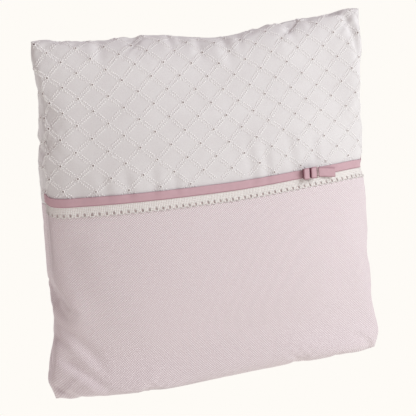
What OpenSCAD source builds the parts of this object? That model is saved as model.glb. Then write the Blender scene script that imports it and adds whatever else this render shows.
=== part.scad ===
// Ring bearer pillow: a two-tone square cushion that stands on its lower edge.
// The cover is white eyelet embroidery above and pink pique below, on the front and on the back.
// A satin ribbon and a lace trim cross the front where the two cloths meet, with a ring tie on the ribbon.
// The back opens with a zip between the two cloths, and a filled insert is inside.
// Frame: +Z up, front faces -Y, origin on the floor under the middle of the cushion. Millimetres.

/* [Cushion] */
// Width across the corners
cushion_w = 240; // [200:1:300]
// Height of the corners above the floor
cushion_h = 240; // [200:1:300]
// Thickness at the crown
crown_t = 64; // [50:1:84]
// How far the middle of the top edge dips below the corners
top_draw_in = 9; // [0:0.5:16]
// How far the middle of each side edge is drawn in
side_draw_in = 5; // [0:0.5:12]
// Depth of the flat that the cushion sits on, at mid width
seat_depth = 28; // [18:1:40]
// Thickness of the cover cloth
cover_t = 0.8; // [0.5:0.1:1.5]
// Thickness of the insert's casing
casing_t = 0.5; // [0.3:0.1:1]
// Air left between two layers of cloth
cloth_gap = 0.3; // [0.2:0.05:0.6]

/* [Ribbon and lace] */
// Height of the line where the two cloths meet on the front
join_h = 134; // [110:1:150]
// Width of the satin ribbon
ribbon_w = 6.4; // [4:0.1:12]
// Thickness of the satin ribbon
ribbon_t = 0.5; // [0.3:0.1:0.8]
// Width of lace that shows below the ribbon
lace_show = 7.2; // [4:0.1:14]
// Thickness of the lace
lace_t = 0.5; // [0.3:0.1:1]

/* [Ring tie] */
// Distance from the right side seam to the bar tack
tie_from_side = 51; // [34:1:80]
// Length of the flat tail
tail_len = 13; // [8:0.5:22]
// How far the tail droops from the ribbon's line, in degrees
tail_droop = 8; // [0:1:12]
// Gap between the bar tack and the nearer pleat
pleat_gap = 1.2; // [0.3:0.1:3]
// Width of one pleat along the ribbon
pleat_w = 4.6; // [3:0.1:6]
// How far a pleat stands out from the ribbon
pleat_out = 3.6; // [3.5:0.1:7]

/* [Zip] */
// Height of the zip's line on the back
zip_h = 133; // [110:1:150]
// Length of the zip between its stops
zip_len = 150; // [110:1:180]
// Diameter of one coil
coil_d = 1.7; // [1.4:0.1:2.4]
// Width of one tape
tape_w = 8; // [6:0.5:9]
// Thickness of a tape
tape_t = 0.45; // [0.3:0.05:0.8]
// Length of the slider
slider_len = 9; // [7:0.5:12]
// Thickness of the slider's plates
plate_t = 1.1; // [0.8:0.1:1.6]
// Running clearance round the moving zip pieces
run_clear = 0.3; // [0.2:0.05:0.5]
// Length of the pull tab from its bar to its tip
pull_len = 15; // [10:0.5:22]

/* [Hidden] */

white_cloth = [0.93, 0.92, 0.91];
pink_cloth = [0.92, 0.85, 0.85];
satin = [0.78, 0.60, 0.64];
ecru = [0.93, 0.89, 0.85];

// ---- The cushion's form -------------------------------------------------------------------
// s runs from -1 at the left seam to 1 at the right seam, and z is a height on the outer face.
// inset is the depth of a layer below the outer face, and a negative one lies outside the face.
crown_at = 0.42;
across_power = 2.4;
across_round = 0.55;
above_power = 2.2;
above_round = 0.62;
seat_share = seat_depth / crown_t;
column_count = 44;
columns = [for (k = [0:column_count]) sin(90 * (2 * k / column_count - 1))];

function side_x(z) = cushion_w / 2 - side_draw_in * sin(180 * min(z, cushion_h) / cushion_h);
function top_z(s) = cushion_h - top_draw_in * (1 - s * s);
function round_off(v, power, root) = pow(max(0, 1 - pow(v, power)), root);
function upward(t) = t < crown_at
    ? sqrt(1 - pow((crown_at - t) / crown_at, 2) * (1 - seat_share * seat_share))
    : round_off(min(1, (t - crown_at) / (1 - crown_at)), above_power, above_round);
function half_depth(s, z, inset) =
    (crown_t / 2 - inset) * round_off(abs(s), across_power, across_round) * upward(z / top_z(s));
function skin(s, z, inset, out) =
    [s * (side_x(z) - inset),
     -cloth_gap / 2 - out * half_depth(s, z, inset),
     inset + z / top_z(s) * (top_z(s) - 2 * inset)];
// Depth of the outer face at a place given in millimetres
function face_y(x, z) = half_depth(x / side_x(z), z, 0) + cloth_gap / 2;

// A closed wall between two grids of points with the same rows and columns
module wall_between(outer, inner) {
    rows = len(outer) - 1;
    cols = len(outer[0]) - 1;
    count = (rows + 1) * (cols + 1);
    function o(r, c) = r * (cols + 1) + c;
    function i(r, c) = count + o(r, c);
    function quad(a, b, c, d) = [[a, b, c], [a, c, d]];
    // The cells of the left half are cut on the other diagonal, so none lies flat at a corner
    function cell(c, k) = c < cols / 2 ? quad(k[1], k[2], k[3], k[0]) : quad(k[0], k[1], k[2], k[3]);
    cells = [
        for (r = [0:rows - 1]) for (c = [0:cols - 1])
            each concat(cell(c, [o(r, c), o(r + 1, c), o(r + 1, c + 1), o(r, c + 1)]),
                        cell(c, [i(r, c), i(r, c + 1), i(r + 1, c + 1), i(r + 1, c)]))];
    rims = [
        for (c = [0:cols - 1])
            each concat(quad(o(0, c), o(0, c + 1), i(0, c + 1), i(0, c)),
                        quad(o(rows, c + 1), o(rows, c), i(rows, c), i(rows, c + 1))),
        for (r = [0:rows - 1])
            each concat(quad(o(r + 1, 0), o(r, 0), i(r, 0), i(r + 1, 0)),
                        quad(o(r, cols), o(r + 1, cols), i(r + 1, cols), i(r, cols)))];
    points = [for (grid = [outer, inner]) for (row = grid) for (p = row) p];
    polyhedron(points, concat(cells, rims));
}

// ---- The zip's line -----------------------------------------------------------------------
// The closed zip follows an arc across the crown of the back, and its slider runs round that arc.
zip_end_x = zip_len / 2;
zip_sag = face_y(0, zip_h) - face_y(zip_end_x, zip_h);
zip_r = (zip_end_x * zip_end_x + zip_sag * zip_sag) / (2 * zip_sag);
arc_y = face_y(0, zip_h) - zip_r;
zip_half_turn = asin(zip_end_x / zip_r);
function mm_turn(len) = len / zip_r * 180 / PI;
function arc_drop(x) = zip_r - sqrt(zip_r * zip_r - x * x);
// Highest the cover stands above the arc between the zip's ends
face_rise = max([for (k = [0:8]) face_y(zip_end_x * k / 8, zip_h) - face_y(0, zip_h)
                                 + arc_drop(zip_end_x * k / 8)]);
coil_gap = 0.7;
coil_z = coil_gap + coil_d / 2;
coil_edge = coil_z + coil_d / 2;
flange_t = 0.8;
slider_half = coil_edge + run_clear + flange_t;
// The inner edges of the panels lean towards the zip by this much
edge_lean = cover_t * abs(2 * zip_h / cushion_h - 1);
zip_gap = 2 * (slider_half + run_clear + edge_lean);
tape_in = 0.9;
tape_out = tape_in + tape_w;
// The tapes lie under the cover even where its face falls away above and below the zip
tape_fall = max([for (x = [0, zip_end_x]) for (dz = [-tape_out, tape_out])
                 face_y(x, zip_h) - face_y(x, zip_h + dz)]);
tape_top = zip_r - cover_t - max(0.9, tape_fall + 2 * cloth_gap);
tape_bottom = tape_top - tape_t;
coil_r = tape_top + 0.15 + coil_d / 2;
plate_in = coil_r + coil_d / 2 + run_clear;
plate_top = plate_in + plate_t;
back_plate_top = tape_bottom - run_clear;
back_plate_bottom = back_plate_top - plate_t;
flange_foot = tape_top + run_clear;
// Groove in the back of the insert, where the zip presses in
groove_depth = face_rise + zip_r - back_plate_bottom;
groove_flat = tape_out + 4;
groove_wide = groove_flat + 9;
stop_len = 2.5;
slider_rest_turn = zip_half_turn - mm_turn(stop_len + cloth_gap + slider_len / 2);
opening_x = zip_end_x + 4;

function groove(x, z) =
    let (dz = abs(z - zip_h), dx = abs(x),
         kz = max(0, min(1, (groove_wide - dz) / (groove_wide - groove_flat))),
         kx = max(0, min(1, (zip_end_x + 24 - dx) / 10)))
    groove_depth * kz * kx;

// Half of the slot between the two back cloths at a distance x from the middle
function slot_half(x) =
    let (k = max(0, min(1, (opening_x + 6 - abs(x)) / 6)))
    cloth_gap / 2 + (zip_gap / 2 - cloth_gap / 2) * k;

module round_arc(from, to) {
    translate([0, arc_y, 0])
        rotate([0, 0, 90 + from])
            rotate_extrude(angle = to - from, $fn = 720)
                children();
}

// ---- Rows of points -------------------------------------------------------------------------
// Rows from the seam under the seat to a line, and from a line to the top seam
lower_rows = 11;
upper_rows = 12;
function seat_row(inset) = [for (s = columns) skin(s, 0, inset, 0)];
function lower_grid(inset, edges) = concat([seat_row(inset)],
    [for (r = [0:lower_rows]) [for (k = [0:column_count])
        skin(columns[k], edges[k] * r / lower_rows, inset, 1)]]);
function upper_grid(inset, edges) =
    [for (r = [0:upper_rows]) let (share = sin(90 * r / upper_rows))
        [for (k = [0:column_count]) let (top = top_z(columns[k]))
            skin(columns[k], edges[k] + (top - edges[k]) * share, inset, 1)]];

module lower_panel(edges) {
    wall_between(lower_grid(0, edges), lower_grid(cover_t, edges));
}

module upper_panel(edges) {
    wall_between(upper_grid(0, edges), upper_grid(cover_t, edges));
}

// ---- Cover ----------------------------------------------------------------------------------
function front_edges(side) = [for (s = columns) join_h + side * cloth_gap / 2];
function back_edges(side) = [for (s = columns) zip_h + side * slot_half(s * side_x(zip_h))];

module front_upper_panel() {
    color(white_cloth) upper_panel(front_edges(1));
}

module front_lower_panel() {
    color(pink_cloth) lower_panel(front_edges(-1));
}

module back_upper_panel() {
    color(white_cloth) mirror([0, 1, 0]) upper_panel(back_edges(1));
}

module back_lower_panel() {
    color(pink_cloth) mirror([0, 1, 0]) lower_panel(back_edges(-1));
}

// ---- Insert -----------------------------------------------------------------------------------
casing_in = cover_t + cloth_gap;
filling_in = casing_in + casing_t + cloth_gap;
insert_rows_low = [0, 0.06, 0.16, 0.3, 0.48, 0.68, 0.86, 1];
insert_rows_high = [0.1, 0.25, 0.42, 0.6, 0.76, 0.88, 0.96, 1];
groove_low = zip_h - groove_wide;
groove_high = zip_h + groove_wide;
function insert_heights(s) = concat(
    [for (k = insert_rows_low) groove_low * k],
    [zip_h - groove_flat, zip_h, zip_h + groove_flat, groove_high],
    [for (k = insert_rows_high) groove_high + (top_z(s) - groove_high) * k]);
insert_row_count = len(insert_heights(0));
// One face of the insert: grooved is 1 on the back, where the zip presses in
function insert_face(inset, grooved) = concat([seat_row(inset)],
    [for (r = [0:insert_row_count - 1]) [for (s = columns)
        let (p = skin(s, insert_heights(s)[r], inset, 1), g = grooved * groove(p[0], p[2]))
        [p[0], min(-cloth_gap / 2, p[1] + g), p[2]]]]);
function turned(grid) = [for (row = grid) [for (p = row) [p[0], -p[1], p[2]]]];

module insert_casing_front() {
    color(white_cloth) wall_between(insert_face(casing_in, 0), insert_face(casing_in + casing_t, 0));
}

module insert_casing_back() {
    color(white_cloth) mirror([0, 1, 0])
        wall_between(insert_face(casing_in, 1), insert_face(casing_in + casing_t, 1));
}

module fibre_filling() {
    color(white_cloth) wall_between(insert_face(filling_in, 0), turned(insert_face(filling_in, 1)));
}

// ---- Ribbon and lace --------------------------------------------------------------------------
strip_end = 0.992;
lace_under = -cloth_gap / 2;
lace_over = lace_under - lace_t;
ribbon_under = lace_over - cloth_gap / 2;
ribbon_over = ribbon_under - ribbon_t;
lace_header = 3;

function strip(low, high, inset) =
    [for (z = [low, (low + high) / 2, high]) [for (s = columns) skin(s * strip_end, z, inset, 1)]];

module satin_ribbon() {
    low = join_h - ribbon_w / 2;
    high = join_h + ribbon_w / 2;
    color(satin) wall_between(strip(low, high, ribbon_over), strip(low, high, ribbon_under));
}

module lace_trim() {
    high = join_h - ribbon_w / 2 + lace_header;
    low = join_h - ribbon_w / 2 - lace_show;
    color(ecru) wall_between(strip(low, high, lace_over), strip(low, high, lace_under));
}

// ---- Ring tie ---------------------------------------------------------------------------------
tie_x = cushion_w / 2 - tie_from_side;
tack_w = 1;
tack_out = 1.4;
function face_slope(x) = atan2(face_y(x - 1, join_h) - face_y(x + 1, join_h), 2);
// Local frame on the ribbon: x along it, -y out of the cushion, z up
module on_ribbon(along) {
    x = tie_x + along * cos(face_slope(tie_x));
    lift = (cloth_gap / 2 - ribbon_over) / cos(face_slope(x));
    translate([x, -face_y(x, join_h) - lift, join_h])
        rotate([0, 0, face_slope(x)])
            children();
}

// A loop of ribbon that stands out from the band: two legs and a round top, seen from above
module arch(half, leg, foot) {
    intersection() {
        translate([0, -leg]) circle(half, $fn = 48);
        translate([-half, -leg - half]) square([2 * half, half]);
    }
    translate([-half, -leg]) square([2 * half, leg - foot]);
}

module pleat() {
    half = pleat_w / 2;
    leg = pleat_out - half;
    color(satin)
        translate([0, 0, -ribbon_w / 2])
            linear_extrude(ribbon_w)
                difference() {
                    arch(half, leg, 0);
                    arch(half - ribbon_t, leg, ribbon_t);
                }
}

pleat_step = pleat_w + 2 * cloth_gap;
first_pleat = -tack_w / 2 - pleat_gap - pleat_w / 2;

module tie_pleat_right() {
    on_ribbon(first_pleat) pleat();
}

module tie_pleat_left() {
    on_ribbon(first_pleat - pleat_step) pleat();
}

module tie_bar_tack() {
    color(ecru)
        on_ribbon(0)
            translate([-tack_w / 2, -tack_out, -ribbon_w / 2 - 0.4])
                cube([tack_w, tack_out, ribbon_w + 0.8]);
}

// The tail turns about an upright line at its root, just behind its lowest near corner
tail_back = ribbon_w / 2 * sin(tail_droop);
tail_root = tack_w / 2 + cloth_gap + ribbon_t + tail_back;
tail_lift = cloth_gap / 3;

module tie_tail() {
    color(satin)
        on_ribbon(0)
            translate([tail_root, -tail_lift - ribbon_t, 0])
                rotate([0, tail_droop, 0])
                    translate([0, 0, -ribbon_w / 2])
                        cube([tail_len, ribbon_t, ribbon_w]);
}

// ---- Zip ----------------------------------------------------------------------------------------
tape_turn = zip_half_turn + mm_turn(6);
coil_turn = zip_half_turn + mm_turn(2);

module tape(side) {
    color(white_cloth)
        round_arc(-tape_turn, tape_turn)
            translate([tape_bottom, zip_h + (side > 0 ? tape_in : -tape_out)])
                square([tape_t, tape_w]);
}

module coil(side) {
    color(white_cloth)
        round_arc(-coil_turn, coil_turn)
            translate([coil_r, zip_h + side * coil_z])
                circle(coil_d / 2, $fn = 32);
}

module zip_tape_upper() {
    tape(1);
}

module zip_tape_lower() {
    tape(-1);
}

module zip_coil_upper() {
    coil(1);
}

module zip_coil_lower() {
    coil(-1);
}

stop_wall = 0.5;
stop_clear = 0.1;
stop_in = coil_r + coil_d / 2 + stop_clear;
stop_foot = tape_top + stop_clear;
leg_in = coil_edge + stop_clear;

// Half of a stop's section: a roof over one coil from roof_from outwards, and a leg beside it
module stop_section(side, roof_from) {
    mirror([0, side > 0 ? 0 : 1])
        polygon([[stop_in, roof_from], [stop_in + stop_wall, roof_from],
                 [stop_in + stop_wall, leg_in + stop_wall], [stop_foot, leg_in + stop_wall],
                 [stop_foot, leg_in], [stop_in, leg_in]]);
}

// A small clip crimped over each coil at the closed end
module zip_top_stops() {
    color(white_cloth)
        for (side = [-1, 1])
            translate([0, 0, zip_h])
                round_arc(zip_half_turn - mm_turn(stop_len), zip_half_turn)
                    stop_section(side, coil_gap);
}

// One bridge over both coils at the open end
module zip_bottom_stop() {
    color(white_cloth)
        translate([0, 0, zip_h])
            round_arc(-zip_half_turn, mm_turn(stop_len) - zip_half_turn)
                for (side = [-1, 1])
                    stop_section(side, -stop_wall);
}

// Slider: two plates joined by a divider at the nose, and a bridge that holds the pull
nose_len = 2;
divider_half = coil_gap - run_clear;
bridge_half = 1;
bridge_bar = 0.9;
pin_r = 0.5;
pin_lift = 0.15;
bridge_window = 2 * pin_r + 2 * pin_lift;
bridge_len = 6;
slider_turn = mm_turn(slider_len / 2);

module on_slider() {
    translate([0, arc_y, zip_h])
        rotate([0, 0, slider_rest_turn])
            translate([0, plate_top, 0])
                children();
}

module slider_section() {
    translate([plate_in, zip_h - slider_half])
        square([plate_t, 2 * slider_half]);
    translate([back_plate_bottom, zip_h - slider_half])
        square([plate_t, 2 * slider_half]);
    for (side = [-1, 1])
        translate([flange_foot, zip_h + (side > 0 ? slider_half - flange_t : -slider_half)])
            square([plate_top - flange_foot, flange_t]);
}

module zip_slider() {
    color("gainsboro") {
        round_arc(slider_rest_turn - slider_turn, slider_rest_turn + slider_turn)
            slider_section();
        round_arc(slider_rest_turn + slider_turn - mm_turn(nose_len), slider_rest_turn + slider_turn)
            translate([back_plate_bottom, zip_h - divider_half])
                square([plate_top - back_plate_bottom, 2 * divider_half]);
        on_slider()
            difference() {
                translate([-bridge_len / 2, -0.4, -bridge_half])
                    cube([bridge_len, 0.4 + bridge_window + bridge_bar, 2 * bridge_half]);
                translate([-bridge_len / 2 + bridge_bar, 0, -bridge_half - 1])
                    cube([bridge_len - 2 * bridge_bar, bridge_window, 2 * bridge_half + 2]);
            }
    }
}

arm_in = bridge_half + run_clear;
arm_w = 0.9;
arm_len = bridge_len / 2 + 1.2;
pull_half = arm_in + arm_w;
pin_out = pin_r + pin_lift;
weld = 0.01;

// Pull tab: a bar through the bridge, an arm each side of it, and a flat tab with a round end
module zip_pull() {
    color("gainsboro")
        on_slider()
            translate([0, pin_out, 0]) {
                translate([0, 0, -pull_half]) cylinder(r = pin_r, h = 2 * pull_half, $fn = 32);
                for (side = [-1, 1])
                    translate([0, -pin_r, side > 0 ? arm_in : -pull_half])
                        cube([arm_len, 2 * pin_r, arm_w]);
                translate([arm_len - weld, -pin_r, -pull_half])
                    cube([pull_len - arm_len - pull_half + weld, 2 * pin_r, 2 * pull_half]);
                translate([pull_len - pull_half, pin_r, 0])
                    rotate([90, 0, 0])
                        cylinder(r = pull_half, h = 2 * pin_r, $fn = 48);
            }
}

front_upper_panel();
front_lower_panel();
back_upper_panel();
back_lower_panel();
insert_casing_front();
insert_casing_back();
fibre_filling();
satin_ribbon();
lace_trim();
tie_pleat_left();
tie_pleat_right();
tie_bar_tack();
tie_tail();
zip_tape_upper();
zip_tape_lower();
zip_coil_upper();
zip_coil_lower();
zip_top_stops();
zip_bottom_stop();
zip_slider();
zip_pull();
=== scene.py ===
"""Ring bearer pillow: the looks of a two-tone square cushion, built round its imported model.

The cover is white eyelet embroidery above and pink pique below. A satin ribbon and a lace trim cross
the front where the two cloths meet, and a small ribbon tie holds the rings. The back opens with a zip.
"""

import logging
import math
from collections.abc import Callable, Iterator
from contextlib import contextmanager
from dataclasses import dataclass, field
from enum import Enum

import bpy
import numpy as np
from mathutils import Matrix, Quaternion, Vector


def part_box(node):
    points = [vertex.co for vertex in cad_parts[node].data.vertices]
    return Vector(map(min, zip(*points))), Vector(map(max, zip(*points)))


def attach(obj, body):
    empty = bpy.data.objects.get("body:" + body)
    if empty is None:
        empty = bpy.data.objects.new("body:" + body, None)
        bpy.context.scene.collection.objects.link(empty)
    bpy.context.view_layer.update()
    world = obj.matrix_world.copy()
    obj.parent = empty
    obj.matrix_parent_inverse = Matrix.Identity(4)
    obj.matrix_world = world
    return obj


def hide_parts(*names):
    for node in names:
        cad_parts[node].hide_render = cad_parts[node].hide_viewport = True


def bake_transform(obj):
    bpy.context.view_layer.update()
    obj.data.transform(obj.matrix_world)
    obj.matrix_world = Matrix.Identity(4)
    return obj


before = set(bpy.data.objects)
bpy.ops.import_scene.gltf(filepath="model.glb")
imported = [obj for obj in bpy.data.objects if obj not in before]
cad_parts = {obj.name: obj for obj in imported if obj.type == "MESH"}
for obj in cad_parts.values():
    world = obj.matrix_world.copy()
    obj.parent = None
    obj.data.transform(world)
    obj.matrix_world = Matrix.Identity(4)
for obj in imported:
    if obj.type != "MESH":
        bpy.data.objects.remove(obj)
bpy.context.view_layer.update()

log = logging.getLogger("ring_pillow")

MM = 0.001
CUT = 250.0  # side of each square of cloth before it is filled, in millimetres
FILLED = 240.0  # width and height of the filled cushion, in millimetres
ZIP_HEIGHT = 133.0  # height of the zip above the floor, in millimetres
UPRIGHT = np.array([0.0, 0.0, 1.0])
Colour = tuple[float, float, float, float]
Spread = Callable[[np.ndarray, np.ndarray], tuple[np.ndarray, np.ndarray]]


class Side(Enum):
    """The two faces of the cushion, by the way they look along Y."""

    FRONT = -1
    BACK = 1


# ---- Small helpers ---------------------------------------


def tone(red: float, green: float, blue: float) -> Colour:
    """Turns a colour of 0 to 255 into the linear colour that a shader takes.

    Args:
        red: red, 0 to 255.
        green: green, 0 to 255.
        blue: blue, 0 to 255.

    Returns:
        The colour with full opacity.
    """
    shares = (red / 255, green / 255, blue / 255)
    linear = [s / 12.92 if s < 0.0404 else ((s + 0.055) / 1.055) ** 2.4 for s in shares]
    return (linear[0], linear[1], linear[2], 1.0)


def bell(x: np.ndarray) -> np.ndarray:
    """A smooth hump, 1 at zero and next to nothing past two."""
    return np.exp(-np.square(x))


def eased(x: np.ndarray) -> np.ndarray:
    """A smooth step from 0 at zero to 1 at one."""
    t = np.clip(x, 0.0, 1.0)
    return t * t * (3 - 2 * t)


def deselect() -> None:
    """Leaves nothing selected, so that the next operator acts on its own piece."""
    for piece in list(bpy.context.selected_objects):
        piece.select_set(False)


def pick(piece: bpy.types.Object) -> None:
    """Makes one piece the only one selected, and the active one.

    Args:
        piece: the object to select.
    """
    deselect()
    piece.select_set(True)
    bpy.context.view_layer.objects.active = piece


def finish_modifier(piece: bpy.types.Object, kind: str, **settings: object) -> None:
    """Adds a modifier with its settings and applies it.

    Args:
        piece: the mesh object to work on.
        kind: Blender's name for the modifier.
        settings: the modifier's own properties.
    """
    pick(piece)
    modifier = piece.modifiers.new(kind.title(), kind)
    for name, value in settings.items():
        setattr(modifier, name, value)
    bpy.ops.object.modifier_apply(modifier=modifier.name)


@contextmanager
def all_selected_in(piece: bpy.types.Object) -> Iterator[None]:
    """Opens a piece in edit mode with all of it selected, and closes it again.

    Args:
        piece: the mesh object to open.

    Yields:
        Nothing. The block runs while the piece is open.
    """
    pick(piece)
    bpy.ops.object.mode_set(mode="EDIT")
    bpy.ops.mesh.select_all(action="SELECT")
    yield
    bpy.ops.object.mode_set(mode="OBJECT")


def read_points(piece: bpy.types.Object) -> np.ndarray:
    """Returns a mesh's points as rows of x, y and z.

    Args:
        piece: the mesh object to read.

    Returns:
        One row for each point.
    """
    points = np.zeros(len(piece.data.vertices) * 3)
    piece.data.vertices.foreach_get("co", points)
    return points.reshape(-1, 3)


def write_points(piece: bpy.types.Object, points: np.ndarray) -> None:
    """Moves a mesh's points to the given places."""
    piece.data.vertices.foreach_set("co", points.astype(np.float32).ravel())
    piece.data.update()


def map_cloth(piece: bpy.types.Object, flat: np.ndarray) -> None:
    """Writes each point's place on the flat cloth, in millimetres, to the UV map "cloth".

    Args:
        piece: the mesh object to map.
        flat: one row for each point, across and up.
    """
    layers = piece.data.uv_layers
    layer = layers[0] if len(layers) else layers.new(name="cloth")
    layer.name = "cloth"
    corners = np.zeros(len(piece.data.loops), int)
    piece.data.loops.foreach_get("vertex_index", corners)
    layer.data.foreach_set("uv", flat[corners].astype(np.float32).ravel())


def coat(piece: bpy.types.Object, finish: "Finish") -> None:
    """Makes a finish the only material of a piece."""
    piece.data.materials.clear()
    piece.data.materials.append(finish.material())


def dress(piece: bpy.types.Object, finish: "Finish") -> None:
    """Gives a piece its material and smooth shading.

    Args:
        piece: the mesh object to dress.
        finish: what it is made of.
    """
    coat(piece, finish)
    piece.data.polygons.foreach_set("use_smooth", [True] * len(piece.data.polygons))


def report(piece: bpy.types.Object) -> None:
    """Logs a finished piece and its size."""
    size = piece.dimensions / MM
    log.info("%s: %d faces, %.1f x %.1f x %.1f mm", piece.name, len(piece.data.polygons), *size)


def seen_from(azimuth: float, elevation: float) -> Vector:
    """Returns the direction out from the cushion, in degrees round from its front and above the floor."""
    a, e = math.radians(azimuth), math.radians(elevation)
    return Vector((math.sin(a) * math.cos(e), -math.cos(a) * math.cos(e), math.sin(e)))


# ---- The cushion's form ----------------------------------


def join_height(side: Side, u: np.ndarray) -> np.ndarray:
    """Height of the line between the cloths, which the ribbon follows on the front.

    Args:
        side: the face of the cushion.
        u: shares across the cloth.

    Returns:
        Heights above the floor, in millimetres.
    """
    if side is Side.BACK:
        return np.full_like(u, ZIP_HEIGHT)
    left_rise = 3.8 * bell(u / 0.045)
    right_half = 1.9 * eased((u - 0.5) / 0.3)
    right_fall = 1.8 * bell((1 - u) / 0.06)
    return 133.4 + left_rise + right_half - right_fall


@dataclass
class Skin:
    """One face of the filled cover, as a grid of points over its flat square of cloth.

    u runs from 0 at the left seam to 1 at the right seam, seen from the front, and v from 0 at the
    bottom seam to 1 at the top seam. Points are in millimetres.
    """

    side: Side
    points: np.ndarray
    normals: np.ndarray = field(init=False)

    def __post_init__(self) -> None:
        """Works out the outward normals."""
        across, upward = (np.gradient(self.points, axis=k) for k in (0, 1))
        normals = np.cross(across, upward) * -self.side.value
        self.normals = normals / np.maximum(np.linalg.norm(normals, axis=2, keepdims=True), 1e-9)

    def read(self, grid: np.ndarray, u: np.ndarray, v: np.ndarray) -> np.ndarray:
        """Reads a grid at places between its points.

        Args:
            grid: values on the same grid as the points.
            u: shares across the cloth.
            v: shares up the cloth.

        Returns:
            The value at each place.
        """
        count = grid.shape[0] - 1
        i, j = (np.clip(w, 0, 1) * count for w in (u, v))
        i0, j0 = (np.minimum(w.astype(int), count - 1) for w in (i, j))
        a, b = (i - i0)[..., None], (j - j0)[..., None]
        near = grid[i0, j0] * (1 - a) + grid[i0 + 1, j0] * a
        far = grid[i0, j0 + 1] * (1 - a) + grid[i0 + 1, j0 + 1] * a
        return near * (1 - b) + far * b

    def place(self, u: np.ndarray, v: np.ndarray, lift: float | np.ndarray = 0.0) -> np.ndarray:
        """Returns points on the face, lifted outwards by some millimetres."""
        raised = np.asarray(lift)[..., None] if np.ndim(lift) else lift
        return self.read(self.points, u, v) + self.normal(u, v) * raised

    def normal(self, u: np.ndarray, v: np.ndarray) -> np.ndarray:
        """Returns the outward normals at places on the face."""
        n = self.read(self.normals, u, v)
        return n / np.maximum(np.linalg.norm(n, axis=-1, keepdims=True), 1e-9)

    def heading(self, u: np.ndarray, v: np.ndarray, turn: np.ndarray) -> np.ndarray:
        """Returns the direction on the face that makes an angle with the cloth's rows.

        Args:
            u: shares across the cloth.
            v: shares up the cloth.
            turn: the angles, in radians.

        Returns:
            One direction for each place, of length 1.
        """
        step = 0.002
        du, dv = np.cos(turn) * step, np.sin(turn) * step
        ahead = self.read(self.points, u + du, v + dv) - self.read(self.points, u - du, v - dv)
        return ahead / np.maximum(np.linalg.norm(ahead, axis=-1, keepdims=True), 1e-9)

    def rise(self, u: np.ndarray, v: np.ndarray) -> np.ndarray:
        """Returns how many millimetres of the face one whole step of v covers at each place.

        Args:
            u: shares across the cloth.
            v: shares up the cloth.

        Returns:
            Millimetres for one whole step of v.
        """
        step = 0.01
        span = self.read(self.points, u, v + step) - self.read(self.points, u, v - step)
        return np.linalg.norm(span, axis=-1) / (2 * step)

    def row_at(self, u: np.ndarray, height: np.ndarray | float) -> np.ndarray:
        """Finds v where each column of the cloth reaches a height above the floor.

        Args:
            u: shares across the cloth.
            height: heights above the floor, in millimetres.

        Returns:
            v at each place.
        """
        v = np.linspace(0, 1, self.points.shape[1])
        wanted = np.broadcast_to(height, np.shape(u))
        places = np.broadcast_arrays(np.ravel(u)[:, None], v[None, :])
        columns = self.read(self.points[:, :, 2:3], *places)[..., 0]
        found = [np.interp(h, column, v) for h, column in zip(np.ravel(wanted), columns)]
        return np.array(found).reshape(np.shape(u))

    def column_at(self, across: float, height: float) -> tuple[float, float]:
        """Finds u and v of the place at a distance across and a height, in millimetres.

        Args:
            across: distance from the cushion's middle.
            height: height above the floor.

        Returns:
            u and v of the place.
        """
        u, v = np.array([0.5 + across / FILLED]), np.array([0.5])
        for _ in range(12):
            v = self.row_at(u, height)
            u = u + (across - self.read(self.points, u, v)[:, 0]) / FILLED
        return float(u[0]), float(v[0])


def join_rims(sheets: dict[Side, np.ndarray]) -> None:
    """Brings the rims of two faces together, where a seam holds them.

    Args:
        sheets: both faces as grids of points, which are changed.
    """
    front, back = sheets[Side.FRONT], sheets[Side.BACK]
    for rim in (np.s_[0, :], np.s_[-1, :], np.s_[:, 0], np.s_[:, -1]):
        middle = (front[rim] + back[rim]) / 2
        front[rim] = middle
        back[rim] = middle


@dataclass(frozen=True)
class Fold:
    """A crease in the cloth, between two places in millimetres from its lower left corner."""

    start: tuple[float, float]
    end: tuple[float, float]
    depth: float
    width: float
    bow: float = 0.0
    crest: float = 0.55

    def height(self, x: np.ndarray, z: np.ndarray) -> np.ndarray:
        """Returns how far the crease lifts the cloth at each place, below zero in its valley.

        Args:
            x: places across the flat cloth.
            z: places up the flat cloth.

        Returns:
            The lift at each place, in millimetres.
        """
        a, b = np.array(self.start), np.array(self.end)
        along = (b - a) / np.linalg.norm(b - a)
        length = np.linalg.norm(b - a)
        s = ((x - a[0]) * along[0] + (z - a[1]) * along[1]) / length
        off = (x - a[0]) * -along[1] + (z - a[1]) * along[0] - self.bow * 4 * s * (1 - s)
        fade = eased((s + 0.15) / 0.4) * eased((1.25 - s) / 0.6)
        valley = bell(off / self.width)
        ridge = bell((off + 1.7 * self.width) / (1.2 * self.width))
        return self.depth * fade * (self.crest * ridge - valley)


@dataclass(frozen=True)
class Dip:
    """A low place in a seam's line: where it is along the seam, how deep and how wide."""

    at: float
    depth: float
    width: float

    def drop(self, t: np.ndarray) -> np.ndarray:
        """Returns how far the seam is drawn in along its length."""
        return self.depth * bell((t - self.at) / self.width)


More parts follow.
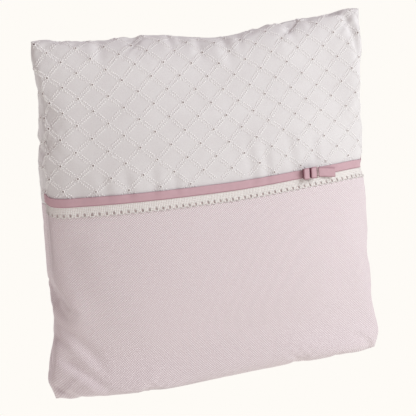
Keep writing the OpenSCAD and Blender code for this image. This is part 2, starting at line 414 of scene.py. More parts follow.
@dataclass
class CushionForm:
    """The filled cushion: two squares of cloth blown up by cloth simulation, then stood on the floor."""

    crown: float = 64.0
    seat: float = 28.0
    fullest: float = 0.42
    cells: int = 72
    pressure: float = 8.0
    frames: int = 16
    stretch: float = 15.0
    bending: float = 0.05
    top_dips: tuple[Dip, ...] = (Dip(0.2, 3.6, 0.13), Dip(0.56, 9.6, 0.19), Dip(0.85, 2.2, 0.1))
    left_dips: tuple[Dip, ...] = (
        Dip(0.8, 2.2, 0.1), Dip(0.62, -1.0, 0.26), Dip(0.25, 3.2, 0.12), Dip(0.08, -3.4, 0.09))
    right_dips: tuple[Dip, ...] = (
        Dip(0.7, 4.8, 0.26), Dip(0.25, 2.2, 0.16), Dip(0.55, 3.6, 0.028), Dip(0.05, -3.2, 0.07))
    bottom_dips: tuple[Dip, ...] = (Dip(0.28, -5.2, 0.22), Dip(0.74, 1.0, 0.2))
    front_folds: tuple[Fold, ...] = (
        # Short puckers that hang from the top seam
        Fold((48, 250), (50, 228), 1.0, 3.6), Fold((99, 250), (101, 230), 0.9, 3.0),
        Fold((106, 250), (109, 236), 0.7, 2.4), Fold((121, 250), (120, 226), 1.0, 3.6),
        Fold((139, 250), (141, 222), 1.2, 4.2), Fold((152, 250), (150, 231), 0.8, 3.0),
        Fold((188, 250), (191, 228), 0.9, 3.2), Fold((206, 250), (207, 234), 0.7, 2.6),
        # The deep fold near the top right corner
        Fold((240, 212), (231, 250), 1.9, 3.4, bow=-2.0, crest=0.7),
        # Puckers that stand on the ribbon
        Fold((147, 141), (144, 172), 0.6, 3.4), Fold((157, 141), (157, 168), 0.6, 3.0),
        Fold((177, 141), (174, 170), 0.65, 3.4), Fold((194, 141), (193, 164), 0.5, 2.8),
        Fold((50, 141), (47, 158), 0.5, 3.0), Fold((63, 141), (61, 160), 0.55, 3.0),
        Fold((78, 141), (79, 161), 0.5, 2.8), Fold((93, 141), (92, 156), 0.45, 2.6),
        # Slack cloth in the lower left corner
        Fold((7, 57), (38, 32), 1.3, 3.8, bow=2.0), Fold((11, 35), (40, 16), 1.3, 3.8, bow=1.5),
        Fold((4, 13), (22, 3), 1.1, 3.0), Fold((2, 74), (17, 60), 1.5, 3.8),
        Fold((2, 47), (15, 43), 1.1, 3.2), Fold((23, 114), (31, 72), 0.8, 9.0, crest=0.2),
    )
    back_folds: tuple[Fold, ...] = (
        Fold((40, 250), (43, 226), 1.5, 3.0), Fold((96, 250), (94, 230), 1.3, 2.6),
        Fold((131, 250), (133, 224), 1.6, 3.4), Fold((173, 250), (170, 231), 1.2, 2.6),
        Fold((210, 250), (214, 228), 1.5, 3.0), Fold((244, 58), (214, 36), 2.0, 3.4, bow=2.0),
        Fold((6, 60), (33, 38), 1.8, 3.4, bow=-2.0), Fold((52, 138), (50, 156), 0.9, 2.6),
        Fold((196, 138), (199, 158), 1.0, 2.6), Fold((120, 128), (118, 108), 0.8, 2.8),
    )

    def skins(self) -> dict[Side, Skin]:
        """Makes both faces of the cushion.

        Returns:
            The front and back faces, in millimetres in the part's frame.
        """
        blown = self.simulated()
        depth = max(blown[Side.FRONT][..., 1].max(), blown[Side.BACK][..., 1].max()) - min(
            blown[Side.FRONT][..., 1].min(), blown[Side.BACK][..., 1].min())
        for sheet in blown.values():
            sheet[..., 1] *= self.crown / depth
        join_rims(blown)
        skins = {}
        for side, sheet in blown.items():
            placed = self.settled(self.drawn_to_seams(sheet))
            matched = self.seam_brought_forward(self.matched_to_crown(placed, side), side)
            skins[side] = self.creased(Skin(side, self.refined(self.refined(matched))))
        return skins

    def simulated(self) -> dict[Side, np.ndarray]:
        """Blows up a thin flat square with the Cloth modifier and reads its two faces.

        Returns:
            The front and back faces as grids of points.
        """
        deselect()
        size = CUT * MM
        bpy.ops.mesh.primitive_grid_add(
            x_subdivisions=self.cells, y_subdivisions=self.cells, size=size, rotation=(math.pi / 2, 0, 0))
        square = bpy.context.object
        bpy.ops.object.transform_apply(location=True, rotation=True, scale=True)
        finish_modifier(square, "SOLIDIFY", thickness=1 * MM, offset=0)
        flat = read_points(square)
        cloth = square.modifiers.new("Cloth", "CLOTH")
        settings = cloth.settings
        settings.quality = 8
        settings.mass = 0.3
        settings.tension_stiffness = self.stretch
        settings.compression_stiffness = self.stretch * 0.5
        settings.shear_stiffness = self.stretch * 0.3
        settings.bending_stiffness = self.bending
        settings.tension_damping = settings.compression_damping = settings.shear_damping = 5
        settings.bending_damping = 0.5
        settings.air_damping = 2
        settings.use_pressure = True
        settings.uniform_pressure_force = self.pressure
        cloth.collision_settings.use_collision = False
        cloth.collision_settings.use_self_collision = False
        settings.effector_weights.gravity = 0
        cloth.point_cache.frame_end = self.frames
        for number in range(1, self.frames + 1):
            bpy.context.scene.frame_set(number)
        bpy.ops.object.modifier_apply(modifier=cloth.name)
        moved = read_points(square) / MM
        bpy.context.scene.frame_set(1)
        bpy.data.objects.remove(square)
        place = np.rint((flat[:, (0, 2)] / size + 0.5) * self.cells).astype(int)
        sheets = {}
        for side in Side:
            mine = flat[:, 1] * side.value > 0
            sheet = np.zeros((self.cells + 1, self.cells + 1, 3))
            sheet[place[mine, 0], place[mine, 1]] = moved[mine]
            sheets[side] = sheet
        return sheets

    def drawn_to_seams(self, sheet: np.ndarray) -> np.ndarray:
        """Carries the four seams to their own lines and the cloth between them along.

        Args:
            sheet: one face as a grid of points, in millimetres.

        Returns:
            The moved grid.
        """
        t = np.linspace(0, 1, self.cells + 1)
        half = FILLED / 2
        corner = 0.06
        seams = {
            "left": ((-half, 0.0), (-half, FILLED), self.left_dips, (1, 0)),
            "right": ((half, 0.0), (half, FILLED), self.right_dips, (-1, 0)),
            "bottom": ((-half, 0.0), (half, 0.0), self.bottom_dips, (0, 1)),
            "top": ((-half, FILLED), (half, FILLED), self.top_dips, (0, -1)),
        }
        lines = {"left": sheet[0], "right": sheet[-1], "bottom": sheet[:, 0], "top": sheet[:, -1]}
        waves = np.stack([np.sin(math.pi * k * t) for k in range(1, 10)], axis=1)
        moves = {}
        for name, (start, end, dips, inward) in seams.items():
            line = lines[name][:, (0, 2)]
            chord = line[:1] + (line[-1:] - line[:1]) * t[:, None]
            smooth_line = chord + waves @ np.linalg.lstsq(waves, line - chord, rcond=None)[0]
            drop = sum(dip.drop(t) for dip in dips) * eased(t / corner) * eased((1 - t) / corner)
            wanted = np.array(start) + (np.array(end) - np.array(start)) * t[:, None]
            moves[name] = wanted + drop[:, None] * np.array(inward) - smooth_line
        u, v = t[:, None, None], t[None, :, None]
        bottom, top = moves["bottom"][:, None], moves["top"][:, None]
        left, right = moves["left"][None], moves["right"][None]
        corners = ((1 - u) * (1 - v) * left[:, :1] + u * (1 - v) * right[:, :1]
                   + (1 - u) * v * left[:, -1:] + u * v * right[:, -1:])
        shift = (1 - v) * bottom + v * top + (1 - u) * left + u * right - corners
        out = sheet.copy()
        out[..., 0] += shift[..., 0]
        out[..., 2] += shift[..., 1]
        return out

    def settled(self, sheet: np.ndarray) -> np.ndarray:
        """Presses flat on the floor what would hang below it.

        Args:
            sheet: one face as a grid of points, in millimetres.

        Returns:
            The moved grid.
        """
        out = sheet.copy()
        roundness = 1.2
        out[..., 2] = roundness * np.logaddexp(0, out[..., 2] / roundness)
        return out

    def part_depth(self, x: np.ndarray, z: np.ndarray) -> np.ndarray:
        """Half the part's own thickness at places across and up, in millimetres.

        Args:
            x: distances from the middle.
            z: heights above the floor.

        Returns:
            The depth of the part's face at each place.
        """
        side_draw, top_draw, cloth_lift = 5.0, 9.0, 0.15
        reach = FILLED / 2 - side_draw * np.sin(np.pi * np.clip(z / FILLED, 0, 1))
        s = np.minimum(np.abs(x) / reach, 1.0)
        t = np.clip(z / (FILLED - top_draw * (1 - s * s)), 0, 1)
        seat = self.seat / self.crown
        below = np.square((self.fullest - np.minimum(t, self.fullest)) / self.fullest)
        low = np.sqrt(1 - below * (1 - seat * seat))
        high = np.power(1 - np.power(np.clip((t - self.fullest) / (1 - self.fullest), 0, 1), 2.2), 0.62)
        across = np.power(1 - np.power(s, 2.4), 0.55)
        return self.crown / 2 * across * low * high + cloth_lift

    def matched_to_crown(self, sheet: np.ndarray, side: Side) -> np.ndarray:
        """Brings the blown-up form to the part's own depth, and keeps its small waves and creases.

        Args:
            sheet: one face as a grid of points, in millimetres.
            side: which face it is.

        Returns:
            The moved grid.
        """
        out = sheet.copy()
        least_depth, least_ratio, most_ratio = 1.5, 0.45, 1.9
        depth = np.maximum(np.abs(sheet[..., 1]), least_depth)
        ratio = np.clip(self.part_depth(sheet[..., 0], sheet[..., 2]) / depth, least_ratio, most_ratio)
        for axis in (0, 1):
            ratio = self.blurred(ratio, axis)
        out[..., 1] *= ratio
        exact = self.part_depth(out[..., 0], out[..., 2]) * side.value
        band_height, band_reach = 133.5, 16
        band_end, band_fade = 108, 14
        band = bell((out[..., 2] - band_height) / band_reach)
        band = band * eased((band_end - np.abs(out[..., 0])) / band_fade)
        out[..., 1] += (exact - out[..., 1]) * band
        return out

    def seam_brought_forward(self, sheet: np.ndarray, side: Side) -> np.ndarray:
        """Pulls the left seam a little round to the front, where the fuller back pushes it.

        Args:
            sheet: one face as a grid of points, in millimetres.
            side: which face it is.

        Returns:
            The moved grid.
        """
        t = np.linspace(0, 1, self.cells + 1)
        reach = 0.035 if side is Side.FRONT else 0.018
        inward, forward = 1.8, 3.6
        share = bell(t[:, None] / reach) * eased((t - 0.28) / 0.14) * eased((0.96 - t) / 0.12)
        out = sheet.copy()
        out[..., 0] += inward * share
        out[..., 1] -= forward * share
        return out

    def blurred(self, grid: np.ndarray, axis: int, reach: int = 9, spread: float = 4.0) -> np.ndarray:
        """Smooths a grid along one axis.

        Args:
            grid: the values to smooth.
            axis: the axis to smooth along.
            reach: steps to each side that count.
            spread: the blur's width, in steps.

        Returns:
            The smoothed grid.
        """
        weights = bell(np.arange(-reach, reach + 1) / spread / math.sqrt(2))
        weights /= weights.sum()
        lines = np.moveaxis(grid, axis, 0)
        padded = np.concatenate([lines[:1]] * reach + [lines] + [lines[-1:]] * reach)
        out = sum(w * padded[k:k + len(lines)] for k, w in enumerate(weights))
        return np.moveaxis(out, 0, axis)

    def refined(self, grid: np.ndarray) -> np.ndarray:
        """Halves the grid's step with a smooth curve through its points.

        Args:
            grid: one face as a grid of points, in millimetres.

        Returns:
            The grid with twice the steps along each side.
        """
        for axis in (0, 1):
            g = np.moveaxis(grid, axis, 0)
            padded = np.concatenate([2 * g[:1] - g[1:2], g, 2 * g[-1:] - g[-2:-1]])
            middle = (9 * (padded[1:-2] + padded[2:-1]) - padded[:-3] - padded[3:]) / 16
            out = np.zeros((2 * len(g) - 1, *g.shape[1:]))
            out[::2] = g
            out[1::2] = middle
            grid = np.moveaxis(out, 0, axis)
        return grid

    def creased(self, skin: Skin) -> Skin:
        """Adds the folds of the cover to a face.

        Args:
            skin: the smooth face.

        Returns:
            The face with its folds.
        """
        folds = self.front_folds if skin.side is Side.FRONT else self.back_folds
        count = skin.points.shape[0]
        line = np.linspace(0, CUT, count)
        x, z = np.meshgrid(line, line, indexing="ij")
        lift = sum((fold.height(x, z) for fold in folds), np.zeros_like(x))
        rim = np.minimum(np.minimum(x, CUT - x), np.minimum(z, CUT - z))
        lift = lift * eased(rim / 2.5)
        return Skin(skin.side, skin.points + skin.normals * lift[..., None])


# ---- Laying cloth and stamping small shapes --------------


def laid_sheet(name: str, skin: Skin, spread: Spread, columns: int, rows: int, lift: float,
               thickness: float, strip_width: float | None = None) -> bpy.types.Object:
    """Lays a sheet of cloth on a face of the cushion.

    Args:
        name: the piece's name.
        skin: the face it lies on.
        spread: turns shares across and up the sheet into u and v on the face.
        columns: cells across the sheet.
        rows: cells up the sheet.
        lift: how far its outer surface stands off the face, in millimetres.
        thickness: its thickness in millimetres.
        strip_width: a ribbon's width, so that its map runs from 0 to that width.

    Returns:
        The sheet as a closed mesh, with its flat millimetres in the UV map "cloth".
    """
    deselect()
    bpy.ops.mesh.primitive_grid_add(x_subdivisions=columns, y_subdivisions=rows, size=1)
    piece = bpy.context.object
    piece.name = piece.data.name = name
    flat = read_points(piece)
    a, b = flat[:, 0] + 0.5, flat[:, 1] + 0.5
    if skin.side is Side.BACK:
        a = 1 - a
    u, v = spread(a, b)
    write_points(piece, skin.place(u, v, lift) * MM)
    upward = v * CUT if strip_width is None else b * strip_width
    map_cloth(piece, np.stack([u * CUT, upward], axis=1))
    finish_modifier(piece, "SOLIDIFY", thickness=thickness * MM, offset=-1)
    return piece


def mesh_piece(name: str, points: np.ndarray, faces: np.ndarray | list) -> bpy.types.Object:
    """Makes a mesh object from points in millimetres and faces.

    Args:
        name: the piece's name.
        points: one row for each point.
        faces: each face's point numbers.

    Returns:
        The new mesh object.
    """
    mesh = bpy.data.meshes.new(name)
    mesh.from_pydata((points * MM).tolist(), [], faces.tolist() if isinstance(faces, np.ndarray) else faces)
    mesh.update()
    piece = bpy.data.objects.new(name, mesh)
    bpy.context.scene.collection.objects.link(piece)
    return piece


@dataclass
class Stamp:
    """A small shape that is modelled once and repeated along the cloth."""

    points: np.ndarray
    faces: list[list[int]]

    @classmethod
    def taken_from(cls, piece: bpy.types.Object) -> "Stamp":
        """Reads the shape of a modelled piece and clears the piece away.

        Args:
            piece: the modelled piece, which is removed.

        Returns:
            The shape.
        """
        points = read_points(piece)
        faces = [list(face.vertices) for face in piece.data.polygons]
        bpy.data.objects.remove(piece)
        return cls(points, faces)

    def repeated(self, name: str, origins: np.ndarray, ahead: np.ndarray, outward: np.ndarray,
                 size: np.ndarray | float = 1.0) -> bpy.types.Object:
        """Copies the shape to many places as one mesh.

        Args:
            name: the piece's name.
            origins: the places, in millimetres.
            ahead: the direction of the shape's X at each place.
            outward: the direction of the shape's Z at each place.
            size: one size for all, or one for each place.

        Returns:
            The finished mesh object.
        """
        aside = np.cross(outward, ahead)
        aside /= np.maximum(np.linalg.norm(aside, axis=1, keepdims=True), 1e-9)
        up = np.cross(ahead, aside)
        axes = np.stack([ahead, aside, up], axis=1)
        scaled = self.points[None] * np.broadcast_to(size, len(origins))[:, None, None]
        placed = origins[:, None] + scaled @ axes
        count = len(self.points)
        faces = [[k * count + i for i in face] for k in range(len(origins)) for face in self.faces]
        return mesh_piece(name, placed.reshape(-1, 3), faces)


def grain(length: float, width: float, height: float) -> Stamp:
    """A short raised stitch, shaped like a grain of rice.

    Args:
        length: along X, in millimetres.
        width: along Y.
        height: along Z.

    Returns:
        The shape, ready to repeat.
    """
    deselect()
    bpy.ops.mesh.primitive_ico_sphere_add(subdivisions=1, radius=0.5)
    bpy.ops.transform.resize(value=(length, width, height))
    bpy.ops.object.transform_apply(location=False, rotation=False, scale=True)
    return Stamp.taken_from(bpy.context.object)


def ring(radius: float, wire: float, around: int, section: int, squash: float = 1.0) -> Stamp:
    """A small ring of thread or wire that lies flat.

    Args:
        radius: the ring's radius, to the middle of its wire.
        wire: the wire's radius.
        around: steps round the ring.
        section: steps round the wire.
        squash: share that its Y is pressed to.

    Returns:
        The shape, ready to repeat.
    """
    deselect()
    bpy.ops.mesh.primitive_torus_add(
        major_segments=around, minor_segments=section, major_radius=radius, minor_radius=wire)
    bpy.ops.transform.resize(value=(1, squash, 1))
    bpy.ops.object.transform_apply(location=False, rotation=False, scale=True)
    return Stamp.taken_from(bpy.context.object)


def disc(radius: float, corners: int) -> Stamp:
    """A small flat disc.

    Args:
        radius: its radius, in millimetres.
        corners: the number of its corners.

    Returns:
        The shape, ready to repeat.
    """
    deselect()
    bpy.ops.mesh.primitive_circle_add(vertices=corners, radius=radius, fill_type="NGON")
    return Stamp.taken_from(bpy.context.object)


# ---- Finishes --------------------------------------------


class Bench:
    """Short ways to add and join the nodes of one material."""

    def __init__(self, name: str, roughness: float, sheen: float = 0.0, specular: float = 0.3) -> None:
        """Starts a material with one shader.

        Args:
            name: the material's name.
            roughness: the shader's roughness.
            sheen: weight of the soft bloom that fibres give.
            specular: level of the shader's reflection.
        """
        self.material = bpy.data.materials.new(name)
        self.material.use_nodes = True
        self.tree = self.material.node_tree
        self.shader = self.tree.nodes["Principled BSDF"]
        self.shader.inputs["Roughness"].default_value = roughness
        self.shader.inputs["Sheen Weight"].default_value = sheen
        self.shader.inputs["Sheen Roughness"].default_value = 0.4
        self.shader.inputs["Specular IOR Level"].default_value = specular

    def put(self, socket: bpy.types.NodeSocket, value: object) -> None:
        """Joins a socket to another, or sets its value.

        Args:
            socket: the input.
            value: a socket to join, or a plain value.
        """
        if isinstance(value, bpy.types.NodeSocket):
            self.tree.links.new(value, socket)
        else:
            socket.default_value = value

    def sum(self, operation: str, a: object, b: object = 0.0) -> bpy.types.NodeSocket:
        """Adds a Math node and returns its result.

        Args:
            operation: Blender's name for it.
            a: the first term.
            b: the second term.

        Returns:
            The node's result.
        """
        node = self.tree.nodes.new("ShaderNodeMath")
        node.operation = operation
        self.put(node.inputs[0], a)
        self.put(node.inputs[1], b)
        return node.outputs[0]

    def cloth(self) -> tuple[bpy.types.NodeSocket, bpy.types.NodeSocket, bpy.types.NodeSocket]:
        """Returns the flat cloth's millimetres across and up, and both as a vector.

        Returns:
            Sockets for across, up and the vector.
        """
        uv = self.tree.nodes.new("ShaderNodeUVMap")
        uv.uv_map = "cloth"
        split = self.tree.nodes.new("ShaderNodeSeparateXYZ")
        self.tree.links.new(uv.outputs[0], split.inputs[0])
        return split.outputs[0], split.outputs[1], uv.outputs[0]

    def body(self) -> bpy.types.NodeSocket:
        """Returns the object's own coordinates, in metres."""
        return self.tree.nodes.new("ShaderNodeTexCoord").outputs["Object"]

    def wave(self, along: object, pitch: float) -> bpy.types.NodeSocket:
        """A sine of a coordinate that repeats at a pitch, from -1 to 1."""
        return self.sum("SINE", self.sum("MULTIPLY", along, 2 * math.pi / pitch))

    def noise(self, where: bpy.types.NodeSocket, scale: float, detail: float = 2.0) -> bpy.types.NodeSocket:
        """Soft random cloud, from 0 to 1.

        Args:
            where: the coordinates.
            scale: clouds in each unit.
            detail: how many finer layers it has.

        Returns:
            The node's result.
        """
        node = self.tree.nodes.new("ShaderNodeTexNoise")
        self.put(node.inputs["Vector"], where)
        self.put(node.inputs["Scale"], scale)
        self.put(node.inputs["Detail"], detail)
        return node.outputs[0]

    def graded(self, value: object, low: float, high: float) -> bpy.types.NodeSocket:
        """Stretches a value so that low becomes 0 and high becomes 1.

        Args:
            value: the value to stretch.
            low: what becomes 0.
            high: what becomes 1.

        Returns:
            The node's result.
        """
        node = self.tree.nodes.new("ShaderNodeMapRange")
        self.put(node.inputs["Value"], value)
        self.put(node.inputs["From Min"], low)
        self.put(node.inputs["From Max"], high)
        return node.outputs[0]

    def mixed(self, share: object, first: object, second: object) -> bpy.types.NodeSocket:
        """Mixes two colours.

        Args:
            share: how much of the second shows.
            first: a colour.
            second: another colour.

        Returns:
            The mixed colour.
        """
        node = self.tree.nodes.new("ShaderNodeMix")
        node.data_type = "RGBA"
        self.put(node.inputs["Factor"], share)
        colours = [s for s in node.inputs if s.type == "RGBA"]
        self.put(colours[0], first)
        self.put(colours[1], second)
        return next(s for s in node.outputs if s.type == "RGBA")

    def coloured(self, colour: object) -> None:
        """Sets or joins the shader's base colour."""
        self.put(self.shader.inputs["Base Color"], colour)

    def raised(self, height: object, distance: float, strength: float = 1.0) -> None:
        """Gives the shader a relief of a height in metres.

        Args:
            height: the relief, from 0 to 1.
            distance: how far 1 stands out, in metres.
            strength: share of the relief that shows.
        """
        node = self.tree.nodes.new("ShaderNodeBump")
        self.put(node.inputs["Height"], height)
        node.inputs["Distance"].default_value = distance
        node.inputs["Strength"].default_value = strength
        self.tree.links.new(node.outputs[0], self.shader.inputs["Normal"])


@dataclass(frozen=True)
class Finish:
    """What a piece is made of. Its material is built once and shared."""

    name: str

    def material(self) -> bpy.types.Material:
        """Returns the material, made the first time that it is asked for."""
        return bpy.data.materials.get(self.name) or self.made()

    def made(self) -> bpy.types.Material:
        """Builds the material's nodes."""
        raise NotImplementedError(self.name)


@dataclass(frozen=True)
class PlainWeave(Finish):
    """A fine plain weave, with soft slubs in its threads."""

    light: Colour
    dark: Colour
    pitch: float = 0.42
    relief: float = 0.00005
    sheen: float = 0.15

    def made(self) -> bpy.types.Material:
        """Builds crossing threads, slubs and a slow drift of tone.

        Returns:
            The finished material.
        """
        bench = Bench(self.name, 0.92, self.sheen, 0.2)
        x, z, flat = bench.cloth()
        threads = bench.sum("MULTIPLY", bench.wave(x, self.pitch), bench.wave(z, self.pitch))
        slubs = bench.noise(flat, 1.1, 3.0)
        drift = bench.noise(flat, 0.05, 2.0)
        tonal = bench.sum("ADD", bench.sum("MULTIPLY", slubs, 0.5), bench.sum("MULTIPLY", drift, 0.5))
        bench.coloured(bench.mixed(bench.graded(tonal, 0.35, 0.62), self.dark, self.light))
        height = bench.sum("ADD", bench.sum("MULTIPLY", threads, 0.5), slubs)
        bench.raised(height, self.relief)
        return bench.material


@dataclass(frozen=True)
class Pique(Finish):
    """A honeycomb weave: small pits set on the diagonal between raised threads, with painted shade in the
    pits.
    """

    light: Colour
    pit_shade: Colour
    pitch: float = 1.6
    relief: float = 0.0002

    def made(self) -> bpy.types.Material:
        """Builds the pits with painted shade in them, the thread between them and a slow drift of tone.

        Returns:
            The finished material.
        """
        bench = Bench(self.name, 0.9, 0.2, 0.2)
        x, z, flat = bench.cloth()
        cells = bench.sum("MULTIPLY", bench.wave(x, self.pitch), bench.wave(z, self.pitch))
        pits = bench.graded(cells, -0.35, 0.55)
        slubs = bench.noise(flat, 1.4, 2.0)
        # The pits are painted darker as shade; the slubs vary the tone at random.
        pit_shade_and_slubs = bench.sum("MULTIPLY", pits, bench.graded(slubs, 0.1, 0.75))
        bench.coloured(bench.mixed(pit_shade_and_slubs, self.pit_shade, self.light))
        bench.raised(bench.sum("ADD", pits, bench.sum("MULTIPLY", slubs, 0.5)), self.relief)
        return bench.material


@dataclass(frozen=True)
class Satin(Finish):
    """A ribbon of satin with a fine cross rib, darker along both edges."""

    light: Colour
    edge: Colour
    width: float = 6.4

    def made(self) -> bpy.types.Material:
        """Builds the rib, the darker edges and a faint streak along the ribbon.

        Returns:
            The finished material.
        """
        bench = Bench(self.name, 0.5, 0.15, 0.35)
        x, z, flat = bench.cloth()
        middle = bench.sum("ABSOLUTE", bench.sum("SUBTRACT", z, self.width / 2))
        edging = bench.graded(middle, self.width / 2 - 0.85, self.width / 2 - 0.35)
        edge_ripple = bench.graded(bench.wave(x, 0.9), -1.0, 1.0)
        worn = bench.noise(flat, 0.35, 3.0)
        share = bench.sum("MULTIPLY", edging, bench.graded(edge_ripple, -0.9, 0.6))
        rubbed = (*(0.94 * c for c in self.light[:3]), 1.0)
        body = bench.mixed(bench.graded(worn, 0.3, 0.7), self.light, rubbed)
        bench.coloured(bench.mixed(share, body, self.edge))
        rib = bench.sum("MULTIPLY", bench.graded(bench.wave(x, 0.34), -1.0, 1.0), 0.5)
        bench.raised(bench.sum("ADD", rib, bench.sum("MULTIPLY", share, -0.8)), 0.00008)
        return bench.material


@dataclass(frozen=True)
class LaceCotton(Finish):
    """Looped cotton yarn, worked into a close net."""

    light: Colour
    gap: Colour
    pitch: float = 2.2

    def made(self) -> bpy.types.Material:
        """Builds the net's slanting loops with darker gaps between them.

        Returns:
            The finished material.
        """
        bench = Bench(self.name, 0.95, 0.1, 0.15)
        x, z, flat = bench.cloth()
        rising, falling = bench.sum("ADD", x, z), bench.sum("SUBTRACT", x, z)
        net = bench.sum("MULTIPLY", bench.wave(rising, self.pitch), bench.wave(falling, self.pitch))
        loops = bench.graded(net, -0.7, 0.5)
        fuzz = bench.noise(flat, 3.0, 2.0)
        yarn = bench.sum("MULTIPLY", loops, bench.graded(fuzz, 0.0, 0.6))
        bench.coloured(bench.mixed(yarn, self.gap, self.light))
        bench.raised(bench.sum("ADD", loops, fuzz), 0.0004)
        return bench.material


@dataclass(frozen=True)
class Spun(Finish):
    """Thread, fibre, moulded nylon, or discs of painted shade: one colour with a fine grain on the object's
    own coordinates.
    """

    light: Colour
    dark: Colour
    grain: float = 2500.0
    roughness: float = 0.7
    sheen: float = 0.2
    relief: float = 0.00005
    specular: float = 0.3

    def made(self) -> bpy.types.Material:
        """Builds the grain and its relief.

        Returns:
            The finished material.
        """
        bench = Bench(self.name, self.roughness, self.sheen, self.specular)
        fine = bench.noise(bench.body(), self.grain, 2.0)
        bench.coloured(bench.mixed(bench.graded(fine, 0.3, 0.7), self.dark, self.light))
        bench.raised(fine, self.relief)
        return bench.material


@dataclass(frozen=True)
class TapeWeave(Finish):
    """The close twill of a zip tape, on the object's own coordinates."""

    light: Colour
    dark: Colour
    pitch: float = 0.0009

    def made(self) -> bpy.types.Material:
        """Builds the twill's slanting ribs.

        Returns:
            The finished material.
        """
        bench = Bench(self.name, 0.85, 0.1, 0.2)
        split = bench.tree.nodes.new("ShaderNodeSeparateXYZ")
        bench.tree.links.new(bench.body(), split.inputs[0])
        slant = bench.sum("ADD", split.outputs[0], bench.sum("MULTIPLY", split.outputs[2], 2.0))
        ribs = bench.graded(bench.wave(slant, self.pitch), -1.0, 1.0)
        bench.coloured(bench.mixed(ribs, self.dark, self.light))
        bench.raised(ribs, 0.00008)
        return bench.material


@dataclass(frozen=True)
class Enamel(Finish):
    """Baked enamel on a die-cast slider, with a faint orange-peel and a little wear."""

    light: Colour
    worn: Colour

    def made(self) -> bpy.types.Material:
        """Builds the enamel's ripple and worn spots.

        Returns:
            The finished material.
        """
        bench = Bench(self.name, 0.3, 0.0, 0.5)
        ripple = bench.noise(bench.body(), 900.0, 2.0)
        spots = bench.graded(bench.noise(bench.body(), 260.0, 4.0), 0.66, 0.74)
        bench.coloured(bench.mixed(spots, self.light, self.worn))
        bench.raised(ripple, 0.00003)
        return bench.material


WHITE = PlainWeave("white_broderie_cotton", tone(226, 224, 224), tone(219, 216, 216))
# The pink cloth, painted darker in the weave's pits as shade.
PINK = Pique("pink_pique_cotton", tone(253, 250, 251), tone(216, 200, 204))
SATIN = Satin("dusty_pink_satin", tone(203, 168, 176), tone(172, 130, 140))
# Darker satin for the pleats' legs: painted shade in the folds of the tie.
PLEAT_LEG_SHADE = Satin("ribbon_reverse", tone(150, 98, 110), tone(128, 78, 90))
LACE = LaceCotton("ecru_lace_cotton", tone(255, 254, 252), tone(242, 234, 229))
THREAD = Spun("white_embroidery_thread", tone(246, 244, 243), tone(238, 236, 235), roughness=0.8)
# Grey discs in the eyelets: painted shade where the holes are.
SHADE = Spun("eyelet_painted_shade", tone(172, 162, 160), tone(152, 142, 140), roughness=1.0, sheen=0.0)
# Dark discs under the lace's holes: painted shadow.
LACE_HOLE_SHADE = Spun("lace_hole_painted_shade", tone(220, 206, 202), tone(204, 189, 184), roughness=1.0, sheen=0.0)
TACK = Spun("ecru_tacking_thread", tone(236, 222, 218), tone(214, 196, 194))
LINING = PlainWeave("plain_insert_cotton", tone(238, 236, 232), tone(228, 225, 220))
FIBRE = Spun("polyester_fibre", tone(240, 240, 238), tone(222, 222, 220), grain=900.0, relief=0.0004)
TAPE = TapeWeave("zip_tape_twill", tone(232, 228, 226), tone(208, 203, 201))
NYLON = Spun("zip_nylon", tone(238, 236, 233), tone(226, 223, 220), roughness=0.35, sheen=0.0, specular=0.5)
ENAMEL = Enamel("zip_enamel", tone(236, 232, 229), tone(176, 172, 168))


# ---- Cover -----------------------------------------------


